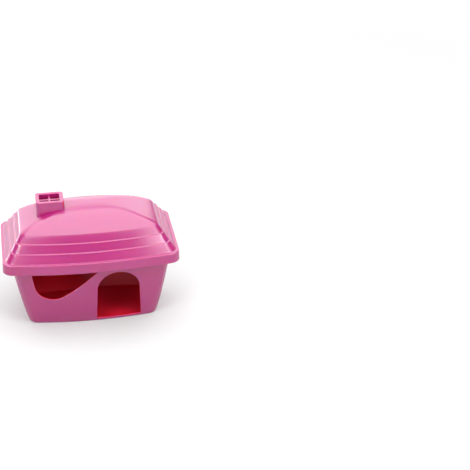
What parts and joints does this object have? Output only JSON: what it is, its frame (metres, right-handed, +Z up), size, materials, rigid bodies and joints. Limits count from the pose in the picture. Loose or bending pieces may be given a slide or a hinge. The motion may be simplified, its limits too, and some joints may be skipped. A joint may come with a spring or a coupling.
{
  "type": "small pet house",
  "caption": "Moulded plastic hamster house: flared tub with arched doorway and bowl-shaped window under a lift-off stepped roof with a vaulted top and open chimney.",
  "frame": {"origin": "middle of the underside, on the surface the house stands on", "axes": "+X along the house towards the doorway's end, -Y the way the doorway looks, +Z up"},
  "size_m": [0.167, 0.1098, 0.1213],
  "materials": {
    "base_plastic": "smooth moulded plastic with a soft gloss",
    "roof_plastic": "smooth moulded plastic with a soft gloss"
  },
  "bodies": {
    "base": {"base": "base_plastic"},
    "roof": {"roof": "roof_plastic"}
  },
  "joints": [
    {"name": "roof_lift", "type": "slide", "parent": "base", "child": "roof", "axis": [0, 0, 1], "range_m": [0, 0.06]}
  ]
}
